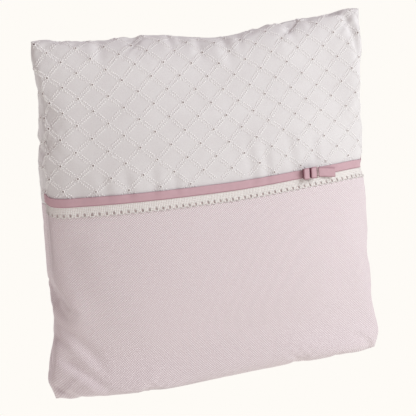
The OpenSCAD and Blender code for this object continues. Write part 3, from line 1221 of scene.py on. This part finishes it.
@dataclass
class Cover:
    """The four panels of the cover, with the embroidery of the upper ones."""

    skins: dict[Side, Skin]
    thickness: float = 0.8
    slot_half: float = 3.9
    slot_end: float = 79.0
    slot_taper: float = 6.0
    columns: int = 200
    upper_rows: int = 88
    lower_rows: int = 112
    upper_share: float = 0.45
    trellis_across: float = 19.9
    trellis_up: float = 16.6
    trellis_start: tuple[float, float] = (2.6, -2.0)
    ring_radius: float = 1.0
    petal_reach: float = 2.1
    petal_length: float = 1.5
    petals: int = 8
    leaf_length: float = 1.9
    leaf_turn: float = 0.75
    leaf_aside: float = 0.95
    leaf_gap: float = 2.9
    leaves_per_side: int = 5

    def edge(self, side: Side, u: np.ndarray, above: float) -> np.ndarray:
        """Finds where a panel ends at the line between the cloths.

        Args:
            side: the face of the cushion.
            u: places across the face.
            above: 1 for the upper panel and -1 for the lower one.

        Returns:
            v of the panel's edge at each place.
        """
        skin = self.skins[side]
        v = skin.row_at(u, join_height(side, u))
        if side is Side.FRONT:
            return v
        x = np.abs(skin.place(u, v)[..., 0])
        share = eased((self.slot_end + self.slot_taper - x) / self.slot_taper)
        return v + above * self.slot_half * share / skin.rise(u, v)

    def panel(self, name: str, side: Side, upper: bool, finish: Finish) -> bpy.types.Object:
        """Lays one panel of the cover.

        Args:
            name: the panel's name, which is its CAD node's with a word added.
            side: the face it lies on.
            upper: whether it is the embroidered panel above the line.
            finish: its cloth.

        Returns:
            The finished panel.
        """
        def spread(a: np.ndarray, b: np.ndarray) -> tuple[np.ndarray, np.ndarray]:
            """Spreads the panel between its own edge and the seam."""
            edge = self.edge(side, a, 1 if upper else -1)
            return a, edge + (1 - edge) * b if upper else edge * b

        rows = self.upper_rows if upper else self.lower_rows
        piece = laid_sheet(name, self.skins[side], spread, self.columns, rows, 0.0, self.thickness)
        dress(piece, finish)
        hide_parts(name.replace("_cloth", "_panel"))
        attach(piece, "cushion")
        return piece

    def trellis(self, side: Side) -> tuple[np.ndarray, np.ndarray]:
        """Returns the eyelets' places on the flat cloth of an upper panel, in millimetres.

        Args:
            side: the face of the cushion.

        Returns:
            Places across and up.
        """
        x0, z0 = self.trellis_start
        places = [(x0 + self.trellis_across * (i + 0.5 * (j % 2)), z0 + self.trellis_up / 2 * j)
                  for j in range(-2, 34) for i in range(-2, 15)]
        x, z = np.array(places).T
        keep = self.within(side, x, z, 1.5, 4.5)
        return x[keep], z[keep]

    def within(self, side: Side, x: np.ndarray, z: np.ndarray, rim: float, foot: float) -> np.ndarray:
        """Tells which places lie on the upper cloth.

        Args:
            side: the face of the cushion.
            x: places across the flat cloth.
            z: places up the flat cloth.
            rim: how far from the seams they have to be, in millimetres.
            foot: how far above the panel's lower edge they have to be.

        Returns:
            True for each place that is far enough from all four edges.
        """
        edge = self.edge(side, np.clip(x / CUT, 0, 1), 1) * CUT
        return (x > rim) & (x < CUT - rim) & (z < CUT - rim) & (z > edge + foot)

    def embroidery(self, side: Side) -> list[bpy.types.Object]:
        """Works the trellis of raised stitches and stitched eyelets on an upper panel.

        Args:
            side: the face of the cushion.

        Returns:
            The rings, the dark discs of painted shade in the eyelets and the stitches.
        """
        skin = self.skins[side]
        word = side.name.lower()
        x, z = self.trellis(side)
        u, v = x / CUT, z / CUT
        eyelets = (skin.place(u, v, 0.1), skin.heading(u, v, np.zeros_like(u)), skin.normal(u, v))
        rings = ring(self.ring_radius, 0.36, 10, 4).repeated(f"{word}_eyelet_rings", *eyelets)
        # The grey discs are painted shade in the eyelets.
        eyelet_shade_discs = disc(0.72, 8).repeated(f"{word}_eyelet_holes", *eyelets)
        x, z, turn, size = self.stitch_places(side, x, z)
        u, v = x / CUT, z / CUT
        stitches = (skin.place(u, v, 0.02), skin.heading(u, v, turn), skin.normal(u, v))
        rows = grain(1.0, 0.5, 0.14).repeated(f"{word}_trellis_stitches", *stitches, size)
        for piece, finish in ((rings, THREAD), (eyelet_shade_discs, SHADE), (rows, THREAD)):
            dress(piece, finish)
            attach(piece, "cushion")
        return [rings, eyelet_shade_discs, rows]

    def stitch_places(self, side: Side, x: np.ndarray, z: np.ndarray) -> tuple[np.ndarray, ...]:
        """Sets out the stitches: petals round each eyelet and leaves along the trellis.

        Args:
            side: the face of the cushion.
            x: the eyelets' places across the flat cloth.
            z: the eyelets' places up the flat cloth.

        Returns:
            The stitches' places across and up, their turns and their sizes.
        """
        petals = [(x + self.petal_reach * math.cos(a), z + self.petal_reach * math.sin(a),
                   np.full_like(x, a), np.full_like(x, self.petal_length))
                  for a in (2 * math.pi * k / self.petals for k in range(self.petals))]
        leaves = []
        half_across, half_up = self.trellis_across / 2, self.trellis_up / 2
        length = math.hypot(half_across, half_up)
        run = length - 2 * self.leaf_gap
        for rise in (-1, 1):
            lean = math.atan2(rise * half_up, half_across)
            for start_x, start_z in ((x, z), (x - half_across, z - rise * half_up)):
                for k in range(self.leaves_per_side):
                    for swing in (-1, 1):
                        step = (k + 0.5 + 0.2 * swing) / self.leaves_per_side
                        share = (self.leaf_gap + run * step) / length
                        aside = self.leaf_aside * swing
                        leaves.append((
                            start_x + half_across * share - math.sin(lean) * aside,
                            start_z + rise * half_up * share + math.cos(lean) * aside,
                            np.full_like(x, lean + self.leaf_turn * swing),
                            np.full_like(x, self.leaf_length)))
        px, pz, turn, size = (np.concatenate(row) for row in zip(*petals, *leaves))
        places = np.stack([px, pz, turn, size], axis=1)[self.within(side, px, pz, 1, 1.2)]
        _, once = np.unique(np.round(places[:, :3], 2), axis=0, return_index=True)
        return tuple(places[np.sort(once)].T)

    def build(self) -> None:
        """Builds the four panels and the embroidery."""
        for side in Side:
            word = side.name.lower()
            report(self.panel(f"{word}_upper_cloth", side, True, WHITE))
            report(self.panel(f"{word}_lower_cloth", side, False, PINK))
            for piece in self.embroidery(side):
                report(piece)


# ---- Ribbon and lace -------------------------------------


@dataclass
class Trimming:
    """The satin ribbon along the line between the cloths, and the lace under its lower edge."""

    skin: Skin
    ribbon_width: float = 5.9
    ribbon_thickness: float = 0.4
    ribbon_lift: float = 0.85
    lace_lift: float = 0.5
    lace_thickness: float = 0.3
    lace_show: float = 7.4
    lace_header: float = 2.0
    motif: float = 4.4
    hole_up: float = 1.6
    hole_radius: float = 0.75
    hole_shade_radius: float = 0.62

    def line(self, u: np.ndarray) -> np.ndarray:
        """Returns v of the ribbon's middle."""
        return self.skin.row_at(u, join_height(Side.FRONT, u))

    def ribbon(self) -> bpy.types.Object:
        """Lays the ribbon from seam to seam, its right end turned up into the seam.

        Returns:
            The finished ribbon.
        """
        def spread(a: np.ndarray, b: np.ndarray) -> tuple[np.ndarray, np.ndarray]:
            """Spreads the ribbon about its line."""
            turned = 5.0 * eased((a - 0.975) / 0.025) * b
            line = self.line(a)
            return a, line + (self.ribbon_width * (b - 0.5) + turned) / self.skin.rise(a, line)

        piece = laid_sheet("satin_band", self.skin, spread, 240, 8, self.ribbon_lift, self.ribbon_thickness,
                           self.ribbon_width)
        dress(piece, SATIN)
        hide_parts("satin_ribbon")
        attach(piece, "cushion")
        return piece

    def lace_motif(self) -> Stamp:
        """Models one repeat of the lace: a band, a round hole and a pointed lower edge.

        Returns:
            The motif on a flat plane, in millimetres, with its top left corner at the origin.
        """
        deselect()
        depth = self.lace_header + self.lace_show
        bpy.ops.mesh.primitive_grid_add(x_subdivisions=8, y_subdivisions=10, size=1)
        piece = bpy.context.object
        flat = read_points(piece)
        a, b = flat[:, 0] + 0.5, flat[:, 1] + 0.5
        x, z = a * self.motif, (b - 1) * depth
        hole_z = -depth + self.hole_up
        reach, nearest, cut_away, tiny = 1.4, 0.5, 0.35, 1e-6
        off_x, off_z = x - self.motif / 2, z - hole_z
        away = np.hypot(off_x, off_z)
        centre = away < cut_away
        spread = self.hole_radius + (away - nearest) * (reach - self.hole_radius) / (reach - nearest)
        pull = np.where((away < reach) & ~centre, spread, away)
        scale = np.where(away > tiny, np.maximum(pull, 0) / np.maximum(away, tiny), 1)
        scale = np.where(away < reach, scale, 1)
        x, z = self.motif / 2 + off_x * scale, hole_z + off_z * scale
        point = np.abs(2 * a - 1)
        z = z + 1.0 * (1 - b) ** 5 * point ** 1.4
        write_points(piece, np.stack([x, z, np.zeros_like(x)], axis=1))
        pick(piece)
        bpy.ops.object.mode_set(mode="EDIT")
        bpy.ops.mesh.select_all(action="DESELECT")
        bpy.ops.object.mode_set(mode="OBJECT")
        for number in np.nonzero(centre)[0]:
            piece.data.vertices[int(number)].select = True
        bpy.ops.object.mode_set(mode="EDIT")
        bpy.ops.mesh.select_mode(type="VERT")
        bpy.ops.mesh.delete(type="VERT")
        bpy.ops.object.mode_set(mode="OBJECT")
        return Stamp.taken_from(piece)

    def lace(self) -> bpy.types.Object:
        """Repeats the lace motif along the ribbon and lays it on the cloth.

        Returns:
            The finished lace.
        """
        stamp = self.lace_motif()
        count = int(CUT / self.motif)
        start = (CUT - count * self.motif) / 2
        x = (stamp.points[None, :, 0] + start + self.motif * np.arange(count)[:, None]).ravel()
        z = np.tile(stamp.points[:, 1], count)
        u = np.clip(x / CUT, 0, 1)
        line = self.line(u)
        v = line + (z - self.ribbon_width / 2 + self.lace_header) / self.skin.rise(u, line)
        ripple = 0.2 * np.sin(2 * math.pi * x / 31.0) * np.clip(-z / 9.0, 0, 1)
        points = self.skin.place(u, v, self.lace_lift + np.abs(ripple))
        size = len(stamp.points)
        faces = [[k * size + i for i in face] for k in range(count) for face in stamp.faces]
        piece = mesh_piece("cotton_lace", points, faces)
        map_cloth(piece, np.stack([x, z], axis=1))
        with all_selected_in(piece):
            bpy.ops.mesh.remove_doubles(threshold=0.02 * MM)
        finish_modifier(piece, "SOLIDIFY", thickness=self.lace_thickness * MM, offset=-1)
        dress(piece, LACE)
        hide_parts("lace_trim")
        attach(piece, "cushion")
        return piece

    def paint_hole_shades(self) -> bpy.types.Object:
        """Paints shade on the cloth under each hole of the lace, as dark discs.

        Returns:
            The finished discs.
        """
        count = int(CUT / self.motif)
        x = (CUT - count * self.motif) / 2 + self.motif * (np.arange(count) + 0.5)
        u = x / CUT
        line = self.line(u)
        v = line + (self.hole_up - self.lace_show - self.ribbon_width / 2) / self.skin.rise(u, line)
        # Each disc is painted shadow under one hole of the lace.
        piece = disc(self.hole_shade_radius, 8).repeated(
            "lace_hole_shade_discs", self.skin.place(u, v, 0.12), self.skin.heading(u, v, np.zeros_like(u)),
            self.skin.normal(u, v))
        dress(piece, LACE_HOLE_SHADE)
        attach(piece, "cushion")
        return piece

    def build(self) -> None:
        """Builds the ribbon and the lace."""
        report(self.ribbon())
        report(self.lace())
        report(self.paint_hole_shades())


# ---- Ring tie --------------------------------------------


@dataclass(frozen=True)
class Pleat:
    """One standing loop: its place along the band from the tack, and how far its top leans."""

    hand: str
    along: float
    lean: float


@dataclass
class RingTie:
    """The small ribbon tie: two standing pleats, a bar tack and a flat tail."""

    skin: Skin
    across: float = 69.0
    height: float = 134.8
    ribbon_width: float = 6.4
    thickness: float = 0.4
    band_lift: float = 1.0
    pleat_width: float = 4.6
    pleat_out: float = 3.2
    pleat_raise: float = 0.7
    pleat_flare: float = 1.4
    pleat_pair: tuple[Pleat, ...] = (Pleat("right", -4.0, -1.0), Pleat("left", -9.2, -1.4))
    tack_wraps: int = 9
    tail_length: float = 13.2
    droop: float = 8.0

    def local_frame(self, along: float) -> tuple[np.ndarray, np.ndarray, np.ndarray]:
        """Returns the place, the direction along the ribbon and the outward direction on the band.

        Args:
            along: distance along the band from the tack.

        Returns:
            The place, the direction along and the direction out.
        """
        u, v = self.skin.column_at(self.across, self.height)
        u = np.array([u + along / CUT])
        v = self.skin.row_at(u, self.height)
        flat = self.skin.heading(u, v, np.zeros(1))[0]
        flat[2] = 0
        flat /= np.linalg.norm(flat)
        outward = np.array([flat[1], -flat[0], 0.0])
        return self.skin.place(u, v, self.band_lift)[0], flat, outward

    def folded(self, name: str, path: np.ndarray, origin: np.ndarray, along: np.ndarray,
               outward: np.ndarray, droop: float = 0.0, flare: float = 0.0) -> bpy.types.Object:
        """Sweeps the ribbon's width along a folded path.

        Args:
            name: the piece's name.
            path: places along the ribbon and out from it, in millimetres.
            origin: where the path starts on the band.
            along: direction along the band.
            outward: direction out of the cushion.
            droop: how far the end hangs, in degrees.
            flare: extra width at the path's middle, in millimetres.

        Returns:
            The ribbon as a closed mesh.
        """
        rows = 8
        t = np.linspace(0, 1, len(path))
        run = np.concatenate([[0], np.cumsum(np.linalg.norm(np.diff(path, axis=0), axis=1))])
        b = np.linspace(-0.5, 0.5, rows + 1)
        wide = self.ribbon_width + flare * np.sin(math.pi * t)
        lean = math.tan(math.radians(droop))
        points = (origin + path[:, None, :1] * along + path[:, None, 1:] * outward
                  + (wide[:, None] * b[None, :] - lean * path[:, :1])[..., None] * UPRIGHT)
        count = rows + 1
        faces = [[i * count + j, (i + 1) * count + j, (i + 1) * count + j + 1, i * count + j + 1]
                 for i in range(len(path) - 1) for j in range(rows)]
        piece = mesh_piece(name, points.reshape(-1, 3), faces)
        across = np.tile((b + 0.5) * self.ribbon_width, len(path))
        map_cloth(piece, np.stack([np.repeat(run, count), across], axis=1))
        finish_modifier(piece, "SOLIDIFY", thickness=self.thickness * MM, offset=0)
        dress(piece, SATIN)
        return piece

    def pleat_path(self, lean: float) -> np.ndarray:
        """Draws one pleat from above: up one leg, round its top and down the other leg.

        Args:
            lean: how far the top leans along the ribbon, in millimetres.

        Returns:
            Places along the ribbon and out from it.
        """
        half, corner, foot, knee = self.pleat_width / 2, 1.1, 0.2, 0.35
        turns = np.linspace(math.pi, math.pi / 2, 7)
        rounding = np.stack([corner - half + corner * np.cos(turns),
                             self.pleat_out - corner + corner * np.sin(turns)], axis=1)
        left = np.concatenate([[[-half - foot, 0.0], [-half, self.pleat_out * knee]], rounding])
        path = np.concatenate([left, left[::-1] * np.array([-1, 1])])
        path[:, 0] += lean * path[:, 1] / self.pleat_out
        return path

    def pleats(self) -> None:
        """Stands the two pleats on the band, left of the tack."""
        for pleat in self.pleat_pair:
            origin, flat, outward = self.local_frame(pleat.along)
            piece = self.folded(f"pleat_{pleat.hand}_ribbon", self.pleat_path(pleat.lean),
                                origin + self.pleat_raise * UPRIGHT, flat, outward, flare=self.pleat_flare)
            self.paint_leg_shade(piece, flat)
            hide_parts(f"tie_pleat_{pleat.hand}")
            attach(piece, "cushion")
            report(piece)

    def paint_leg_shade(self, piece: bpy.types.Object, flat: np.ndarray) -> None:
        """Paints shade on the legs of a pleat: the faces that face along the band get a darker satin.

        Args:
            piece: the pleat.
            flat: the direction along the band.
        """
        # A second, darker satin paints shade on the legs.
        piece.data.materials.append(PLEAT_LEG_SHADE.material())
        for face in piece.data.polygons:
            if abs(face.normal.dot(Vector(flat))) > 0.8:
                face.material_index = 1

    def tack(self) -> None:
        """Works the bar tack as close wraps of thread over the ribbon."""
        origin, flat, outward = self.local_frame(0.0)
        count = self.tack_wraps
        half = self.ribbon_width / 2 + 0.3
        heights = np.linspace(-half, half, count)
        places = origin + heights[:, None] * UPRIGHT + outward * 0.35
        piece = ring(0.42, 0.24, 10, 6).repeated(
            "bar_tack_thread", places, np.tile(flat, (count, 1)), np.tile(UPRIGHT + 0.2 * flat, (count, 1)))
        dress(piece, TACK)
        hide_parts("tie_bar_tack")
        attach(piece, "cushion")
        report(piece)

    def tail(self) -> None:
        """Lays the tail along the band, with a straight-cut end."""
        origin, flat, outward = self.local_frame(0.0)
        start = origin + flat * 0.9 + outward * 0.3
        steps = np.linspace(0, 1, 24)
        lift = 0.15 + 0.5 * np.sin(math.pi * steps) * (1 - steps) + 0.5 * steps ** 2
        path = np.stack([self.tail_length * steps, lift], axis=1)
        piece = self.folded("tail_ribbon", path, start, flat, outward, droop=self.droop)
        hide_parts("tie_tail")
        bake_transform(piece)
        report(piece)

    def build(self) -> None:
        """Builds the pleats, the tack and the tail."""
        self.pleats()
        self.tack()
        self.tail()


# ---- Insert ----------------------------------------------


@dataclass
class Insert:
    """The filled insert: two squares of plain cotton and the fibre between them."""

    skins: dict[Side, Skin]
    groove_floor: float = 17.2
    groove_reach: float = 125.0

    def inner(self, inset: float, margin: float, cells: int) -> dict[Side, Skin]:
        """Lays both faces inside the cover, joined at their rims, with the zip's groove in the back.

        Args:
            inset: how far inside the cover's own faces, in millimetres.
            margin: the share of the cloth that is left out at each seam.
            cells: the number of cells along each side.

        Returns:
            The two faces.
        """
        line = margin + (1 - 2 * margin) * np.linspace(0, 1, cells + 1)
        u, v = np.meshgrid(line, line, indexing="ij")
        rim = np.minimum(np.minimum(u, 1 - u), np.minimum(v, 1 - v)) - margin
        flatness = np.sqrt(np.clip(rim / 0.04, 0, 1))
        grids = {}
        for side in Side:
            points = self.skins[side].place(u, v, -inset)
            points[..., 1] *= flatness
            if side is Side.BACK:
                x, z = np.abs(points[..., 0]), np.abs(points[..., 2] - ZIP_HEIGHT)
                share = eased((24 - z) / 10) * eased((100 - x) / 12)
                floor = self.groove_floor * np.sqrt(np.clip(1 - (x / self.groove_reach) ** 2, 0, 1))
                pressed = points[..., 1] * (1 - share) + floor * share
                points[..., 1] = np.minimum(points[..., 1], pressed)
            grids[side] = points
        join_rims(grids)
        return {side: Skin(side, points) for side, points in grids.items()}

    def casing(self) -> None:
        """Lays both squares of the casing."""
        def whole(a: np.ndarray, b: np.ndarray) -> tuple[np.ndarray, np.ndarray]:
            """Spreads the square over the whole face."""
            return a, b

        faces = self.inner(1.5, 0.012, 96)
        for side in Side:
            word = side.name.lower()
            piece = laid_sheet(f"insert_case_{word}", faces[side], whole, 96, 96, 0.0, 0.5)
            dress(piece, LINING)
            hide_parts(f"insert_casing_{word}")
            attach(piece, "cushion")
            report(piece)

    def filling(self) -> None:
        """Closes the fibre filling as one pad inside the casing."""
        cells = 72
        faces = self.inner(2.6, 0.018, cells)
        points = np.concatenate([faces[side].points.reshape(-1, 3) for side in (Side.FRONT, Side.BACK)])
        count = cells + 1
        i, j = np.meshgrid(np.arange(cells), np.arange(cells), indexing="ij")
        first = (i * count + j).ravel()
        quads = np.stack([first, first + count, first + count + 1, first + 1], axis=1)
        core = mesh_piece("fibre_core", points, np.concatenate([quads, quads[:, ::-1] + count * count]))
        with all_selected_in(core):
            bpy.ops.mesh.remove_doubles(threshold=0.05 * MM)
            bpy.ops.mesh.normals_make_consistent(inside=False)
        dress(core, FIBRE)
        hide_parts("fibre_filling")
        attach(core, "cushion")
        report(core)

    def build(self) -> None:
        """Builds the casing and the filling."""
        self.casing()
        self.filling()


# ---- Zip -------------------------------------------------


@dataclass
class BackZip:
    """The zip between the back panels: woven tapes, nylon coils, stops, slider and pull."""

    skin: Skin
    radius: float = 431.5
    coil_d: float = 1.7
    pitch: float = 1.27
    loop_lean: float = 0.25
    stitch_row: float = 6.4

    def coils(self) -> None:
        """Winds each coil as a row of nylon loops along the zip's arc."""
        for name, way in (("zip_coil_upper", 1), ("zip_coil_lower", -1)):
            low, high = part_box(name)
            crown = high.y / MM - self.coil_d / 2
            half = (high.x - low.x) / MM / 2
            end = math.asin(min(1.0, half / self.radius))
            count = int(2 * half / self.pitch)
            offset = end / count + way * self.pitch / 4 / self.radius
            turns = np.linspace(-end, end, count + 1)[:-1] + offset
            middle = (low.z + high.z) / MM / 2
            outward = np.stack([np.sin(turns), np.cos(turns), np.zeros_like(turns)], axis=1)
            places = self.radius * outward + np.array([0.0, crown - self.radius, middle])
            upright = np.tile(UPRIGHT, (len(turns), 1))
            along = np.cross(upright, outward) + way * self.loop_lean * upright
            along /= np.linalg.norm(along, axis=1, keepdims=True)
            piece = ring(0.62, 0.22, 12, 5, squash=0.95).repeated(
                name.replace("zip_coil", "zip_teeth"), places, upright, along)
            dress(piece, NYLON)
            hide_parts(name)
            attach(piece, "cushion")
            report(piece)

    def topstitch(self) -> None:
        """Sews the tapes to the panels with a row of stitches above and below the zip."""
        origins, ahead, outward = [], [], []
        for way in (1, -1):
            u = np.linspace(0.145, 0.855, 71)
            v = self.skin.row_at(u, ZIP_HEIGHT) + way * self.stitch_row / CUT
            origins.append(self.skin.place(u, v, 0.1))
            ahead.append(self.skin.heading(u, v, np.zeros_like(u)))
            outward.append(self.skin.normal(u, v))
        piece = grain(1.9, 0.42, 0.4).repeated(
            "zip_topstitching", np.concatenate(origins), np.concatenate(ahead), np.concatenate(outward))
        dress(piece, THREAD)
        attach(piece, "cushion")
        report(piece)

    def build(self) -> None:
        """Builds the coils and stitching, and finishes the CAD pieces that stay."""
        self.coils()
        self.topstitch()
        for name, finish in (("zip_tape_upper", TAPE), ("zip_tape_lower", TAPE), ("zip_top_stops", NYLON),
                             ("zip_bottom_stop", NYLON), ("zip_slider", ENAMEL), ("zip_pull", ENAMEL)):
            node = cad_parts[name]
            coat(node, finish)
            report(node)


# ---- Studio ----------------------------------------------


@dataclass(frozen=True)
class Lamp:
    """A square soft light that faces the cushion, placed in degrees and metres, with its power in watts."""

    name: str
    azimuth: float
    elevation: float
    power: float
    colour: tuple[float, float, float]
    distance: float = 1.7
    size: float = 0.9

    def hang(self, aim: Vector) -> None:
        """Hangs the light so that it shines on a place.

        Args:
            aim: the place, in metres.
        """
        data = bpy.data.lights.new(self.name, "AREA")
        data.energy, data.size, data.color = self.power, self.size, self.colour
        lamp = bpy.data.objects.new(self.name, data)
        bpy.context.scene.collection.objects.link(lamp)
        back = seen_from(self.azimuth, self.elevation)
        lamp.location = aim + back * self.distance
        lamp.rotation_euler = (-back).to_track_quat("-Z", "Y").to_euler()


@dataclass
class Studio:
    """The pale floor, the soft lights and the camera."""

    azimuth: float = -23.6
    elevation: float = 9.7
    roll: float = -3.34
    distance: float = 1.68
    lens: float = 214.5
    aim: tuple[float, float, float] = (0.0, 0.0, 0.12)
    shift: tuple[float, float] = (-0.004, -0.017)
    lamps: tuple[Lamp, ...] = (
        Lamp("window_light", 50, 30, 21.4, (0.925, 0.975, 0.995)),
        Lamp("back_light", 205, 30, 9.0, (0.96, 0.98, 1.0)),
    )

    def camera(self) -> None:
        """Sets the camera at the viewing angle."""
        data = bpy.data.cameras.new("camera")
        camera = bpy.data.objects.new("camera", data)
        bpy.context.scene.collection.objects.link(camera)
        bpy.context.scene.camera = camera
        back = seen_from(self.azimuth, self.elevation)
        camera.location = Vector(self.aim) + back * self.distance
        facing = (-back).to_track_quat("-Z", "Y")
        camera.rotation_mode = "QUATERNION"
        camera.rotation_quaternion = facing @ Quaternion((0, 0, 1), math.radians(self.roll))
        data.lens = self.lens
        data.shift_x, data.shift_y = self.shift
        data.clip_end = 60

    def floor(self) -> None:
        """Lays a wide pale floor that glows evenly."""
        deselect()
        bpy.ops.mesh.primitive_plane_add(size=60)
        floor = bpy.context.object
        floor.name = "pale_floor"
        material = bpy.data.materials.new("pale_floor")
        material.use_nodes = True
        tree = material.node_tree
        tree.nodes.clear()
        glow = tree.nodes.new("ShaderNodeEmission")
        glow.inputs["Color"].default_value = tone(254, 251, 246)
        out = tree.nodes.new("ShaderNodeOutputMaterial")
        tree.links.new(glow.outputs[0], out.inputs[0])
        floor.data.materials.append(material)

    def air(self) -> None:
        """Fills the room with soft warm light."""
        world = bpy.data.worlds.new("room")
        world.use_nodes = True
        sky = world.node_tree.nodes["Background"]
        sky.inputs["Color"].default_value = (1.0, 0.75, 0.78, 1.0)
        sky.inputs["Strength"].default_value = 0.31
        bpy.context.scene.world = world

    def build(self) -> None:
        """Sets the floor, the air, the lights and the camera."""
        bpy.context.scene.view_settings.view_transform = "Standard"
        self.camera()
        self.floor()
        self.air()
        for lamp in self.lamps:
            lamp.hang(Vector(self.aim))


def main() -> None:
    """Builds the studio and then the cushion, from its cover inwards."""
    logging.basicConfig(level=logging.INFO, format="%(message)s")
    Studio().build()
    skins = CushionForm().skins()
    Insert(skins).build()
    Cover(skins).build()
    Trimming(skins[Side.FRONT]).build()
    RingTie(skins[Side.FRONT]).build()
    BackZip(skins[Side.BACK]).build()


if __name__ == "__main__":
    main()
